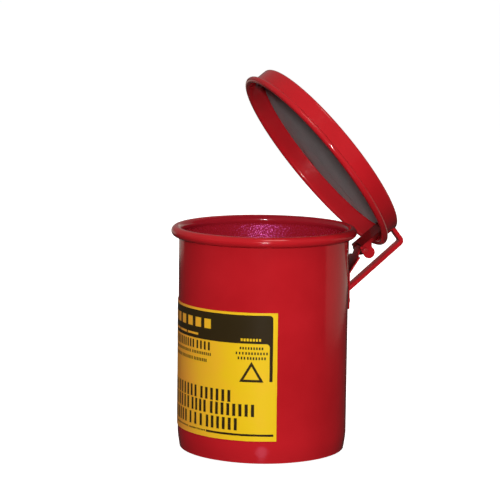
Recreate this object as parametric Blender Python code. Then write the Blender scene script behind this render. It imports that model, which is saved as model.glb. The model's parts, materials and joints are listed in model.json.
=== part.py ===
"""Bench-top safety can: a small steel can with a hinged lid and a finger lever.

Units are metres, +Z is up.  The origin is the centre of the flat bottom, on the
surface that the can stands on.  The hinge is at the back (+Y) and the label
faces the front (-Y).  The lid is modelled closed, then turned open about the
hinge pin by the empty that carries it.
"""

import math

import bmesh
import bpy
from mathutils import Matrix, Vector

# Clearance left between touching pieces.
GAP = 0.0003
TURN_STEPS = 64

# Can wall, with a rolled rim round the mouth.
CAN_RADIUS = 0.0595
CAN_SHEET = 0.0008
CAN_RIM_TOP = 0.1575
RIM_OUTER_RADIUS = 0.0650
RIM_ROLL_RADIUS = 0.0036
RIM_NECK_BEND = 0.0040
WALL_FOOT_HEIGHT = 0.0012
WALL_LEAN_HEIGHT = 0.0120
WALL_LEAN = 0.0014

# Pressed bottom pan, which stands up inside the wall.
PAN_SHEET = 0.0008
PAN_FLANGE_HEIGHT = 0.0110
PAN_CORNER_RADIUS = 0.0030

# Hinge pin, across the back of the can.
PIN_Y = 0.0723
PIN_Z = 0.1390
PIN_RADIUS = 0.0014
PIN_HEAD_RADIUS = 0.0018
PIN_HEAD_HEIGHT = 0.0006

# Hinge bracket on the can: a flat plate, a leaning part with shoulders, and a
# steeper neck that is rolled into a knuckle round the pin.
BRACKET_SHEET = 0.0012
BRACKET_WIDTH = 0.0200
BRACKET_BOTTOM = 0.0975
BRACKET_BEND_RADIUS = 0.0030
LEAN_DEG = 34.6
NECK_DEG = 21.0
NECK_WIDTH = 0.0110
SHOULDER_HEIGHT = 0.1347
KNUCKLE_BORE_RADIUS = 0.0016
KNUCKLE_WRAP_DEG = 255.0

# Rivets that hold the bracket to the can.
CAN_RIVET_X = 0.0055
CAN_RIVET_Z = 0.1035

# Lid pan.  When closed it sits level over the can's mouth.
LID_SHEET = 0.0008
LID_CENTRE_Y = 0.0012
LID_SKIRT_RADIUS = 0.07146
LID_TOP = 0.1643
LID_CORNER_RADIUS = 0.0020
LID_RIM_BOTTOM = 0.1480
LID_ROLL_RADIUS = 0.0022
LID_OPEN_DEG = 52.1

# Sound-damping liner inside the lid.
LINER_RADIUS = 0.0688
LINER_THICKNESS = 0.0027
LINER_EDGE_RADIUS = 0.0012

# Hinge bracket on the lid: a flange, a web and two ears with round lobes.
EAR_SHEET = 0.0010
EAR_OUTER_X = 0.0092
EAR_DEPTH = 0.0024
EAR_PIN_EDGE = 0.0029
LOBE_RADIUS = 0.0043
LOBE_Y = 0.0753
LOBE_Z = 0.1404
WEB_OUTER_Y = 0.0692
WEB_BOTTOM = 0.1371
WEB_BEND_RADIUS = 0.0016
WINDOW_TOP = PIN_Z + 0.0008
WINDOW_HALF_WIDTH = 0.0063
FLANGE_END_Y = 0.0470

# Lever: one flat bar, riveted to the lid's top and bent down behind the can.
BAR_THICKNESS = 0.0029
BAR_WIDTH = 0.0075
BAR_BEND_RADIUS = 0.0026
BAR_OUTER_Y = 0.0886
BAR_FOOT_Y = 0.0450
BAR_SPLAY_DEG = 1.6

# Rivets that clamp lever, lid and lid bracket together.
LID_RIVET_Y = (0.0515, 0.0615)
RIVET_RADIUS = 0.0015
RIVET_HEAD_RADIUS = 0.0030
RIVET_HEAD_HEIGHT = 0.0012
RIVET_TAIL_RADIUS = 0.0025
RIVET_TAIL_HEIGHT = 0.0008
LID_TAIL_HEIGHT = 0.0005

# Label wrapped round the front of the can.
LABEL_THICKNESS = 0.0002
LABEL_BOTTOM = 0.0170
LABEL_TOP = 0.1057
LABEL_HALF_ANGLE_DEG = 82.0
LABEL_STEPS = 30

PIN_AXIS = Vector((0.0, PIN_Y, PIN_Z))


def clear_scene():
    """Remove every object, so that the script starts from nothing."""
    for old in list(bpy.data.objects):
        bpy.data.objects.remove(old, do_unlink=True)


def make_material(name, colour, roughness, coat=0.0):
    """A plain Principled material."""
    material = bpy.data.materials.new(name)
    material.use_nodes = True
    shader = material.node_tree.nodes["Principled BSDF"]
    shader.inputs["Base Color"].default_value = (*colour, 1.0)
    shader.inputs["Roughness"].default_value = roughness
    shader.inputs["Coat Weight"].default_value = coat
    return material


def red_enamel(name):
    """Glossy red powder coat over steel."""
    return make_material(name, (0.48, 0.018, 0.022), 0.32, coat=0.4)


def liner_foam(name):
    """Grey-brown closed-cell sheet."""
    return make_material(name, (0.10, 0.08, 0.08), 0.75)


def label_film(name):
    """Printed yellow film."""
    return make_material(name, (0.83, 0.55, 0.02), 0.38)


def add_object(name, mesh, material):
    """Put a mesh in the scene as one named piece."""
    piece = bpy.data.objects.new(name, mesh)
    mesh.materials.append(material)
    bpy.context.scene.collection.objects.link(piece)
    return piece


def finish_mesh(name, bm, material, smooth_deg=35.0):
    """Turn a bmesh into a piece with its faces pointing out."""
    bmesh.ops.recalc_face_normals(bm, faces=bm.faces)
    mesh = bpy.data.meshes.new(name)
    bm.to_mesh(mesh)
    bm.free()
    mesh.shade_smooth()
    mesh.set_sharp_from_angle(angle=math.radians(smooth_deg))
    return add_object(name, mesh, material)


def arc(centre, radius, start_deg, end_deg, steps):
    """Points along an arc, both ends included."""
    points = []
    for step in range(steps + 1):
        angle = math.radians(start_deg + (end_deg - start_deg) * step / steps)
        across = centre[0] + radius * math.cos(angle)
        up = centre[1] + radius * math.sin(angle)
        points.append((across, up))
    return points


def sheet_outline(path, thickness):
    """Closed outline of a bent sheet whose middle follows a path."""
    left = []
    right = []
    for index, point in enumerate(path):
        before = Vector(path[max(index - 1, 0)])
        after = Vector(path[min(index + 1, len(path) - 1)])
        here = Vector(point)
        into = (here - before).normalized() if index > 0 else (after - here).normalized()
        out = (after - here).normalized() if index < len(path) - 1 else into
        middle = (into + out).normalized()
        stretch = 1.0 / max(middle.dot(into), 0.5)
        normal = Vector((-middle.y, middle.x)) * thickness / 2.0 * stretch
        left.append(tuple(here + normal))
        right.append(tuple(here - normal))
    return left + right[::-1]


def turned(name, outline, material, closed=True, steps=TURN_STEPS):
    """Turn an outline of (radius, height) points about the vertical axis."""
    bm = bmesh.new()
    verts = [bm.verts.new((radius, 0.0, height)) for radius, height in outline]
    edges = [bm.edges.new(pair) for pair in zip(verts, verts[1:])]
    if closed:
        edges.append(bm.edges.new((verts[-1], verts[0])))
    bmesh.ops.spin(bm, geom=verts + edges, cent=(0, 0, 0), axis=(0, 0, 1),
                   angle=math.tau, steps=steps, use_merge=True)
    bmesh.ops.remove_doubles(bm, verts=bm.verts, dist=1e-6)
    return finish_mesh(name, bm, material)


def extruded(name, outline, half_width, material, middle_x=0.0):
    """Extrude an outline of (y, z) points across X."""
    bm = bmesh.new()
    verts = [bm.verts.new((middle_x - half_width, y, z)) for y, z in outline]
    face = bm.faces.new(verts)
    grown = bmesh.ops.extrude_face_region(bm, geom=[face])
    moved = [part for part in grown["geom"] if isinstance(part, bmesh.types.BMVert)]
    bmesh.ops.translate(bm, verts=moved, vec=(2.0 * half_width, 0, 0))
    return finish_mesh(name, bm, material)


def block(low, high, material):
    """A box between two corners, used as a cutter."""
    bm = bmesh.new()
    bmesh.ops.create_cube(bm, size=1.0)
    size = Vector(high) - Vector(low)
    bmesh.ops.scale(bm, vec=size, verts=bm.verts)
    bmesh.ops.translate(bm, verts=bm.verts, vec=(Vector(high) + Vector(low)) / 2.0)
    return finish_mesh("cutter", bm, material)


def drill(radius, start, end, material, steps=20):
    """A round cutter between two points."""
    bm = bmesh.new()
    along = Vector(end) - Vector(start)
    spin = along.to_track_quat("Z", "Y").to_matrix().to_4x4()
    place = Matrix.Translation((Vector(start) + Vector(end)) / 2.0) @ spin
    bmesh.ops.create_cone(bm, cap_ends=True, segments=steps, radius1=radius,
                          radius2=radius, depth=along.length, matrix=place)
    return finish_mesh("cutter", bm, material)


def combine(piece, tool, operation):
    """Cut a tool solid out of a piece, or join it on, and remove the tool."""
    modifier = piece.modifiers.new("shape", "BOOLEAN")
    modifier.operation = operation
    modifier.object = tool
    modifier.solver = "EXACT"
    graph = bpy.context.evaluated_depsgraph_get()
    shaped = bpy.data.meshes.new_from_object(piece.evaluated_get(graph))
    piece.modifiers.clear()
    piece.data = shaped
    bpy.data.objects.remove(tool, do_unlink=True)


def rivet(name, start, end, head_radius, head_height, tail_radius, tail_height, material):
    """A rivet from its head's seat to its tail's seat, turned about its own axis."""
    length = (Vector(end) - Vector(start)).length
    outline = [(0.0, -head_height)]
    for across, up in ((0.55, 0.88), (0.85, 0.55), (1.0, 0.0)):
        outline.append((head_radius * across, -head_height * up))
    outline.append((RIVET_RADIUS, 0.0))
    outline.append((RIVET_RADIUS, length))
    outline.append((tail_radius, length))
    outline.append((tail_radius * 0.75, length + tail_height * 0.7))
    outline.append((0.0, length + tail_height))
    piece = turned(name, outline, material, closed=False, steps=16)
    along = Vector(end) - Vector(start)
    spin = along.to_track_quat("Z", "Y").to_matrix().to_4x4()
    piece.data.transform(Matrix.Translation(Vector(start)) @ spin)
    return piece


def build_can_body():
    """Wall of the can: a straight drum, turned in at the foot, rolled at the mouth."""
    wall = CAN_RADIUS - CAN_SHEET / 2.0
    roll = RIM_ROLL_RADIUS - CAN_SHEET / 2.0
    centre = (RIM_OUTER_RADIUS - RIM_ROLL_RADIUS, CAN_RIM_TOP - RIM_ROLL_RADIUS)
    neck = math.acos((centre[0] - wall + RIM_NECK_BEND) / (RIM_NECK_BEND + roll))
    neck_deg = math.degrees(neck)
    join_height = centre[1] - roll * math.sin(neck)
    neck_start = join_height - RIM_NECK_BEND * math.sin(neck)
    path = [(wall - WALL_LEAN, WALL_FOOT_HEIGHT)]
    path.append((wall - WALL_LEAN * 0.45, WALL_LEAN_HEIGHT * 0.5))
    path.append((wall, WALL_LEAN_HEIGHT))
    path += arc((wall - RIM_NECK_BEND, neck_start), RIM_NECK_BEND, 0.0, neck_deg, 2)
    path += arc(centre, roll, 180.0 + neck_deg, -98.0, 12)[1:]
    outline = sheet_outline(path, CAN_SHEET)
    return turned("can_body", outline, red_enamel("can_red"))


def build_can_bottom():
    """Bottom pan: a flat panel at z = 0 with a flange inside the wall."""
    half = PAN_SHEET / 2.0
    inside = CAN_RADIUS - CAN_SHEET - GAP - half
    foot = inside - WALL_LEAN
    corner = (foot - PAN_CORNER_RADIUS, half + PAN_CORNER_RADIUS)
    lean_at_top = WALL_LEAN * (1.0 - PAN_FLANGE_HEIGHT / WALL_LEAN_HEIGHT)
    path = [(0.0, half)]
    path += arc(corner, PAN_CORNER_RADIUS, -90.0, 0.0, 4)
    path.append((inside - lean_at_top - 0.0001, PAN_FLANGE_HEIGHT))
    outline = sheet_outline(path, PAN_SHEET)
    outline[0] = (0.0, PAN_SHEET)
    outline[-1] = (0.0, 0.0)
    return turned("can_bottom", outline, red_enamel("bottom_red"), closed=False)


def plate_outer_face():
    """Y of the flat plate's outer face, where the lever stops."""
    return CAN_RADIUS + GAP + BRACKET_SHEET


def build_can_bracket():
    """Bracket on the can: plate, leaning part, neck and the knuckle round the pin."""
    lean = math.radians(LEAN_DEG)
    neck = math.radians(NECK_DEG)
    roll = KNUCKLE_BORE_RADIUS + BRACKET_SHEET / 2.0
    plate_y = plate_outer_face() - BRACKET_SHEET / 2.0
    knuckle = arc((PIN_Y, PIN_Z), roll, 180.0 - NECK_DEG, 180.0 - NECK_DEG - KNUCKLE_WRAP_DEG, 12)
    shoulder_y = knuckle[0][0] - (knuckle[0][1] - SHOULDER_HEIGHT) * math.tan(neck)
    meet_z = SHOULDER_HEIGHT - (shoulder_y - plate_y) / math.tan(lean)
    setback = BRACKET_BEND_RADIUS * math.tan(lean / 2.0)
    bend_centre = (plate_y + BRACKET_BEND_RADIUS, meet_z - setback)
    path = [(plate_y, BRACKET_BOTTOM)]
    path += arc(bend_centre, BRACKET_BEND_RADIUS, 180.0, 180.0 - LEAN_DEG, 4)
    path.append((shoulder_y, SHOULDER_HEIGHT))
    path += knuckle
    paint = red_enamel("bracket_red")
    bracket = extruded("can_bracket", sheet_outline(path, BRACKET_SHEET), BRACKET_WIDTH / 2.0, paint)
    for side in (-1.0, 1.0):
        near = side * NECK_WIDTH / 2.0
        far = side * BRACKET_WIDTH
        low = (min(near, far), CAN_RADIUS, SHOULDER_HEIGHT)
        high = (max(near, far), PIN_Y + 0.01, PIN_Z + 0.01)
        combine(bracket, block(low, high, paint), "DIFFERENCE")
        start = (side * CAN_RIVET_X, CAN_RADIUS - 0.003, CAN_RIVET_Z)
        end = (side * CAN_RIVET_X, CAN_RADIUS + 0.004, CAN_RIVET_Z)
        combine(bracket, drill(RIVET_RADIUS + GAP, start, end, paint), "DIFFERENCE")
    return bracket


def build_can_rivets(can_body):
    """Two rivets through the bracket and the wall, with the holes in the wall."""
    paint = red_enamel("rivet_red")
    seat_y = plate_outer_face() + GAP
    edge_x = CAN_RIVET_X + RIVET_TAIL_RADIUS
    inside = math.sqrt((CAN_RADIUS - CAN_SHEET) ** 2 - edge_x ** 2)
    for side, label in ((-1.0, "left"), (1.0, "right")):
        across = side * CAN_RIVET_X
        start = (across, seat_y, CAN_RIVET_Z)
        end = (across, inside - GAP, CAN_RIVET_Z)
        hole_end = (across, inside - 0.003, CAN_RIVET_Z)
        combine(can_body, drill(RIVET_RADIUS + GAP, start, hole_end, paint), "DIFFERENCE")
        rivet("can_rivet_" + label, start, end, RIVET_HEAD_RADIUS, RIVET_HEAD_HEIGHT,
              RIVET_TAIL_RADIUS, RIVET_TAIL_HEIGHT, paint)


def build_label():
    """Printed label, a thin curved sheet round the front of the wall."""
    inner = CAN_RADIUS + GAP
    outer = inner + LABEL_THICKNESS
    bm = bmesh.new()
    rings = []
    for step in range(LABEL_STEPS + 1):
        turn = (2.0 * step / LABEL_STEPS - 1.0) * LABEL_HALF_ANGLE_DEG
        angle = math.radians(turn - 90.0)
        ring = []
        for radius, height in ((inner, LABEL_BOTTOM), (outer, LABEL_BOTTOM),
                               (outer, LABEL_TOP), (inner, LABEL_TOP)):
            place = (radius * math.cos(angle), radius * math.sin(angle), height)
            ring.append(bm.verts.new(place))
        rings.append(ring)
    for ring, following in zip(rings, rings[1:]):
        for side in range(4):
            after = (side + 1) % 4
            bm.faces.new((ring[side], ring[after], following[after], following[side]))
    bm.faces.new(rings[0])
    bm.faces.new(rings[-1])
    return finish_mesh("front_label", bm, label_film("label_yellow"))


def build_lid_shell():
    """Lid pan: flat top, round corner, straight skirt and a rolled rim."""
    skirt = LID_SKIRT_RADIUS - LID_SHEET / 2.0
    top = LID_TOP - LID_SHEET / 2.0
    bend = LID_CORNER_RADIUS - LID_SHEET / 2.0
    roll = LID_ROLL_RADIUS - LID_SHEET / 2.0
    path = [(0.0, top)]
    path += arc((skirt - bend, top - bend), bend, 90.0, 0.0, 5)
    path += arc((skirt + roll, LID_RIM_BOTTOM + LID_ROLL_RADIUS), roll, 180.0, 455.0, 9)
    outline = sheet_outline(path, LID_SHEET)
    outline[0] = (0.0, LID_TOP)
    outline[-1] = (0.0, LID_TOP - LID_SHEET)
    shell = turned("lid_shell", outline, red_enamel("lid_red"), closed=False)
    shell.data.transform(Matrix.Translation((0.0, LID_CENTRE_Y, 0.0)))
    for y in LID_RIVET_Y:
        start = (0.0, y, LID_TOP + 0.002)
        end = (0.0, y, LID_TOP - 0.003)
        tool = drill(RIVET_RADIUS + GAP, start, end, shell.data.materials[0])
        combine(shell, tool, "DIFFERENCE")
    return shell


def flange_top():
    """Height of the lid bracket's flange, just under the lid's sheet."""
    return LID_TOP - LID_SHEET - GAP


def build_lid_bracket():
    """Bracket in the lid: flange, web with a window, and two ears with round lobes."""
    half = EAR_SHEET / 2.0
    web_y = WEB_OUTER_Y - half
    flange_z = flange_top() - half
    bend_centre = (web_y - WEB_BEND_RADIUS, flange_z - WEB_BEND_RADIUS)
    path = [(web_y, WEB_BOTTOM)]
    path += arc(bend_centre, WEB_BEND_RADIUS, 0.0, 90.0, 4)
    path.append((FLANGE_END_Y, flange_z))
    paint = red_enamel("lid_bracket_red")
    outline = sheet_outline(path, EAR_SHEET)
    bracket = extruded("lid_bracket", outline, EAR_OUTER_X, paint)
    low = (-WINDOW_HALF_WIDTH, web_y - 0.01, WEB_BOTTOM - 0.01)
    high = (WINDOW_HALF_WIDTH, web_y + 0.01, WINDOW_TOP)
    combine(bracket, block(low, high, paint), "DIFFERENCE")
    for side in (-1.0, 1.0):
        middle = side * (EAR_OUTER_X - half)
        combine(bracket, build_ear(middle, paint), "UNION")
    start = (-2.0 * EAR_OUTER_X, PIN_Y, PIN_Z)
    end = (2.0 * EAR_OUTER_X, PIN_Y, PIN_Z)
    combine(bracket, drill(PIN_RADIUS + GAP, start, end, paint, 24), "DIFFERENCE")
    for y in LID_RIVET_Y:
        tool = drill(RIVET_RADIUS + GAP, (0, y, LID_TOP), (0, y, LID_TOP - 0.005), paint)
        combine(bracket, tool, "DIFFERENCE")
    return bracket


def build_ear(middle_x, paint):
    """One ear: a narrow strip along the web that swells into a lobe beyond the pin."""
    inner_y = WEB_OUTER_Y - EAR_SHEET
    strip_y = inner_y + EAR_DEPTH
    top_z = flange_top() - EAR_SHEET - WEB_BEND_RADIUS
    lobe = arc((LOBE_Y, LOBE_Z), LOBE_RADIUS, -118.0, 115.0, 14)
    outline = [(inner_y, top_z), (inner_y, WEB_BOTTOM), (WEB_OUTER_Y, WEB_BOTTOM)]
    outline += arc((PIN_Y, PIN_Z), EAR_PIN_EDGE, 222.0, 275.0, 4)
    outline += lobe
    outline.append((strip_y, lobe[-1][1] + 0.0020))
    outline.append((strip_y, top_z))
    return extruded("ear", outline, EAR_SHEET / 2.0, paint, middle_x)


def build_liner():
    """Liner: a pad under the lid's top, relieved for the bracket and the rivets."""
    top = flange_top()
    bottom = top - LINER_THICKNESS
    outline = [(0.0, top), (LINER_RADIUS - LINER_EDGE_RADIUS, top)]
    outline += [(LINER_RADIUS, top - LINER_EDGE_RADIUS), (LINER_RADIUS, bottom), (0.0, bottom)]
    foam = liner_foam("liner_grey")
    liner = turned("lid_liner", outline, foam, closed=False)
    liner.data.transform(Matrix.Translation((0.0, LID_CENTRE_Y, 0.0)))
    side = EAR_OUTER_X + GAP
    pocket_floor = top - EAR_SHEET - GAP
    low = (-side, FLANGE_END_Y - GAP, pocket_floor)
    high = (side, LINER_RADIUS + 0.005, top + 0.002)
    combine(liner, block(low, high, foam), "DIFFERENCE")
    notch_y = WEB_OUTER_Y - EAR_SHEET - WEB_BEND_RADIUS - GAP
    low = (-side, notch_y, bottom - 0.002)
    combine(liner, block(low, high, foam), "DIFFERENCE")
    tail_floor = pocket_floor - LID_TAIL_HEIGHT - GAP
    for y in LID_RIVET_Y:
        start = (0.0, y, top + 0.001)
        end = (0.0, y, tail_floor)
        combine(liner, drill(RIVET_TAIL_RADIUS + GAP, start, end, foam), "DIFFERENCE")
    return liner


def opened_y(point):
    """Y that a closed (y, z) point of the lid has when the lid is fully open."""
    turn = math.radians(LID_OPEN_DEG)
    across = (point[0] - PIN_Y) * math.cos(turn)
    up = (point[1] - PIN_Z) * math.sin(turn)
    return PIN_Y + across + up


def build_lever():
    """Lever: a flat bar along the lid's top, bent down until it stops on the bracket."""
    half = BAR_THICKNESS / 2.0
    splay = math.radians(BAR_SPLAY_DEG)
    foot_z = LID_TOP + GAP + half
    leg_y = BAR_OUTER_Y - half
    bend_centre = (leg_y - BAR_BEND_RADIUS, foot_z - BAR_BEND_RADIUS)
    path = [(BAR_FOOT_Y, foot_z)]
    path += arc(bend_centre, BAR_BEND_RADIUS, 90.0, BAR_SPLAY_DEG, 5)
    down = Vector((math.sin(splay), -math.cos(splay)))
    inner = Vector(path[-1]) - half * Vector((math.cos(splay), math.sin(splay)))
    drop = opened_y(down + Vector((PIN_Y, PIN_Z))) - PIN_Y
    length = (plate_outer_face() + GAP - opened_y(inner)) / drop
    path.append(tuple(Vector(path[-1]) + down * length))
    paint = red_enamel("lever_red")
    lever = extruded("lid_lever", sheet_outline(path, BAR_THICKNESS), BAR_WIDTH / 2.0, paint)
    for y in LID_RIVET_Y:
        start = (0.0, y, LID_TOP - 0.002)
        end = (0.0, y, LID_TOP + BAR_THICKNESS + 0.003)
        combine(lever, drill(RIVET_RADIUS + GAP, start, end, paint), "DIFFERENCE")
    return lever


def build_lid_rivets():
    """Two rivets down through the lever, the lid and the bracket's flange."""
    paint = red_enamel("lid_rivet_red")
    head_seat = LID_TOP + GAP + BAR_THICKNESS + GAP
    tail_seat = flange_top() - EAR_SHEET - GAP
    rivets = []
    for y, label in zip(LID_RIVET_Y, ("front", "back")):
        start = (0.0, y, head_seat)
        end = (0.0, y, tail_seat)
        rivets.append(rivet("lid_rivet_" + label, start, end, RIVET_HEAD_RADIUS, RIVET_HEAD_HEIGHT,
                            RIVET_TAIL_RADIUS, LID_TAIL_HEIGHT, paint))
    return rivets


def build_hinge_pin():
    """Hinge pin with a formed head outside each ear."""
    seat = EAR_OUTER_X + GAP
    tip = seat + PIN_HEAD_HEIGHT
    round_start = seat + PIN_HEAD_HEIGHT * 0.4
    outline = [(0.0, -tip), (PIN_HEAD_RADIUS * 0.7, -tip), (PIN_HEAD_RADIUS, -round_start)]
    outline += [(PIN_HEAD_RADIUS, -seat), (PIN_RADIUS, -seat), (PIN_RADIUS, seat)]
    outline += [(PIN_HEAD_RADIUS, seat), (PIN_HEAD_RADIUS, round_start)]
    outline += [(PIN_HEAD_RADIUS * 0.7, tip), (0.0, tip)]
    pin = turned("hinge_pin", outline, red_enamel("pin_red"), closed=False, steps=24)
    quarter = Matrix.Rotation(math.pi / 2.0, 4, "Y")
    pin.data.transform(Matrix.Translation(PIN_AXIS) @ quarter)
    return pin


def hang_on_hinge(pieces):
    """Carry the lid's pieces on an empty at the pin, turned open."""
    hinge = bpy.data.objects.new("lid_hinge", None)
    bpy.context.scene.collection.objects.link(hinge)
    hinge.location = PIN_AXIS
    hinge.rotation_euler = (-math.radians(LID_OPEN_DEG), 0.0, 0.0)
    for piece in pieces:
        piece.data.transform(Matrix.Translation(-PIN_AXIS))
        piece.parent = hinge


clear_scene()
body = build_can_body()
build_can_bottom()
build_can_bracket()
build_can_rivets(body)
build_label()
lid_pieces = [build_lid_shell(), build_liner(), build_lid_bracket()]
lid_pieces += [build_lever(), build_hinge_pin()]
lid_pieces += build_lid_rivets()
hang_on_hinge(lid_pieces)
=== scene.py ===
"""Looks of a small bench safety can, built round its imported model.

Everything is in metres in the model's frame: the can stands on z = 0, the
hinge is at the back (+Y) and the label faces the front (-Y).
"""
import json
import math

import bmesh
import bpy
from mathutils import Matrix, Vector

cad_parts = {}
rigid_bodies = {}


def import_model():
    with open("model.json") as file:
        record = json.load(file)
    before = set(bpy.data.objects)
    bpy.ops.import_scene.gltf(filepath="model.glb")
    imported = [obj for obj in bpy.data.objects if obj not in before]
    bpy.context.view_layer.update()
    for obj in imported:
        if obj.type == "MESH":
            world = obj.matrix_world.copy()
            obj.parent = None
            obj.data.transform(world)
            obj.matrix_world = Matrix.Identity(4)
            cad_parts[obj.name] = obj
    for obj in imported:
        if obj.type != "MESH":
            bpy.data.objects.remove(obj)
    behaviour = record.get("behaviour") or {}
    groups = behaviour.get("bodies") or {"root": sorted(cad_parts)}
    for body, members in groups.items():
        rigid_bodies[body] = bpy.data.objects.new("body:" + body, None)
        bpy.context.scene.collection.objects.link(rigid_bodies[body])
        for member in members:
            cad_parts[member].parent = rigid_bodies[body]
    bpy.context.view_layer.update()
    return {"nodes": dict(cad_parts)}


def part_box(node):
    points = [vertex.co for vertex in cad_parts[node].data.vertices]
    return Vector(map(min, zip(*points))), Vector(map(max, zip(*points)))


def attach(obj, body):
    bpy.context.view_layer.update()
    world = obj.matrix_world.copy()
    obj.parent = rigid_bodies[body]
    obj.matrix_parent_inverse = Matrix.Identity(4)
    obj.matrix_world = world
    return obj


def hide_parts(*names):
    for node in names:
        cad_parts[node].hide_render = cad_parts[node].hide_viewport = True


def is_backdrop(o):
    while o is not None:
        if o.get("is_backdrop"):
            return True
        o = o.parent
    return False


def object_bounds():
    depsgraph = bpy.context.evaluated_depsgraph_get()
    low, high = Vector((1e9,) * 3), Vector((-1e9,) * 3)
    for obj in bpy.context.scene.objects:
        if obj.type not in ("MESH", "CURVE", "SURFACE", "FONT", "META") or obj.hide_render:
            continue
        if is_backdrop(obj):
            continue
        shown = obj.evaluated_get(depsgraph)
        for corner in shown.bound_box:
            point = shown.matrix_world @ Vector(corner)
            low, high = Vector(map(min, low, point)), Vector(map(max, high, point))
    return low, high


for leftover in list(bpy.data.objects):
    bpy.data.objects.remove(leftover, do_unlink=True)
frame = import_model()
nodes = frame["nodes"]

# ---------------------------------------------------------------------------
# Camera.  It looks at the can's right side from a little above, with a long
# lens, so that upright edges stay nearly parallel.
# ---------------------------------------------------------------------------
CAMERA_PLACE = (1.42364, -0.45412, 0.35485)
CAMERA_HEADING_DEG = 72.681
CAMERA_DIP_DEG = 8.175
CAMERA_ROLL_DEG = 0.691
CAMERA_LENS_MM = 155.1325
CAMERA_SENSOR_MM = 36.0
CAMERA_NEAR = 0.05
CAMERA_FAR = 50.0

lens = bpy.data.cameras.new("camera")
lens.lens = CAMERA_LENS_MM
lens.sensor_width = CAMERA_SENSOR_MM
lens.clip_start = CAMERA_NEAR
lens.clip_end = CAMERA_FAR
camera = bpy.data.objects.new("camera", lens)
bpy.context.scene.collection.objects.link(camera)
heading = Matrix.Rotation(math.radians(CAMERA_HEADING_DEG), 4, "Z")
dip = Matrix.Rotation(math.radians(90.0 - CAMERA_DIP_DEG), 4, "X")
roll = Matrix.Rotation(math.radians(CAMERA_ROLL_DEG), 4, "Z")
camera.matrix_world = Matrix.Translation(CAMERA_PLACE) @ heading @ dip @ roll
bpy.context.scene.camera = camera

# ---------------------------------------------------------------------------
# Can wall.  One rolled and seam-welded sheet of steel, turned in a little at
# the foot and rolled outward round the mouth, powder coated red in and out.
# ---------------------------------------------------------------------------
WALL_RADIUS = 0.0595
WALL_SHEET = 0.0008
WALL_STATIONS = (0.05, 0.10)
WALL_TURN_STEPS = 240
FOOT_HEIGHT = 0.0012
FOOT_LEAN_HEIGHT = 0.0120
FOOT_LEAN = 0.0014
FOOT_LEAN_CURVE = 1.3
FOOT_LEAN_SHARES = (0.25, 0.5, 0.75)
FOOT_BLEND = 0.002
MOUTH_BEAD_RADIUS = 0.0036
MOUTH_BEAD_END_DEG = -98.0
MOUTH_BEAD_STEPS = 30
MOUTH_NECK_BEND = 0.0040
MOUTH_NECK_STEPS = 6
MOUTH_NECK_BLEND = 0.001
INSIDE_FADE_RADIUS = 0.0612
INSIDE_FADE_WIDTH = 0.0022
SHARP_DEG = 42.0

RED_DEEP = (0.465, 0.0095, 0.0150, 1.0)
RED_BRIGHT = (0.530, 0.0125, 0.0190, 1.0)
RED_EDGE = (0.700, 0.0650, 0.0550, 1.0)
# Darker red for faces marked inside the can: painted shade for the can's shaded inside, the coat
# being the same in and out.
RED_INSIDE_SHADED = (0.330, 0.0090, 0.0180, 1.0)
# Near-black red that the coat is darkened to in hollows: painted shade.
RED_PAINTED_SHADE = (0.070, 0.0050, 0.0050, 1.0)
PLAIN_SHEEN = (1.0, 1.0, 1.0, 1.0)
VIOLET_SHEEN = (1.0, 0.20, 0.80, 1.0)
COAT_DRIFT_SCALE = 26.0
COAT_DRIFT_SPAN = (0.32, 0.68)
COAT_PEEL_SPAN = (0.30, 0.70)
COAT_SPECK_SCALE = 2600.0
COAT_SPECK_DEPTH = 0.0001
COAT_RUBBED_SPAN = (0.56, 0.70)
COAT_RUBBED_SHARE = 0.45
COAT_PAINTED_SHADE_SPAN = (0.35, 0.74)
COAT_PAINTED_SHADE_SAMPLES = 8
COAT_SHINE = 0.12
COAT_LACQUER = 0.50
COAT_LACQUER_ROUGH = 0.06
OUTER_SPRAY = {"peel_scale": 620.0, "peel_bump": 0.18, "peel_depth": 0.00025,
               "speck_bump": 0.08, "rough": (0.13, 0.20), "sheen": PLAIN_SHEEN}
INNER_SPRAY = {"peel_scale": 900.0, "peel_bump": 1.0, "peel_depth": 0.0004,
               "speck_bump": 0.20, "rough": (0.20, 0.32), "sheen": VIOLET_SHEEN}


def shader_node(tree, kind, settings, **inputs):
    """Add a node, and set or link its inputs, given by name or as _number."""
    node = tree.nodes.new("ShaderNode" + kind)
    for key, value in settings.items():
        setattr(node, key, value)
    for key, value in inputs.items():
        socket = node.inputs[int(key[1:]) if key[1:].isdigit() else key]
        if isinstance(value, bpy.types.NodeSocket):
            tree.links.new(value, socket)
        else:
            socket.default_value = value
    return node


def noise(tree, place, scale, detail):
    """Soft cloudy noise of a given fineness."""
    return shader_node(tree, "TexNoise", {}, Vector=place, Scale=scale, Detail=detail).outputs[0]


def blend_colours(tree, share, first, second):
    """Colour that runs from the first to the second as share goes from 0 to 1."""
    node = shader_node(tree, "Mix", {"data_type": "RGBA"}, _0=share, _6=first, _7=second)
    return node.outputs[2]


def stepped(tree, value, low, high, start=0.0, end=1.0):
    """A value mapped from low..high to start..end and held there."""
    node = shader_node(tree, "MapRange", {}, _0=value, _1=low, _2=high, _3=start, _4=end)
    return node.outputs[0]


def relief(tree, height, strength, depth, under=None):
    """Bump from a height, laid over another bump where one is given."""
    node = shader_node(tree, "Bump", {}, Strength=strength, Distance=depth, Height=height)
    if under is not None:
        tree.links.new(under, node.inputs["Normal"])
    return node.outputs[0]


def new_finish(name):
    """A new material, with its nodes, its shader and the place on the object."""
    material = bpy.data.materials.new(name)
    material.use_nodes = True
    tree = material.node_tree
    place = tree.nodes.new("ShaderNodeTexCoord").outputs["Object"]
    return material, tree, tree.nodes["Principled BSDF"], place


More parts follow.
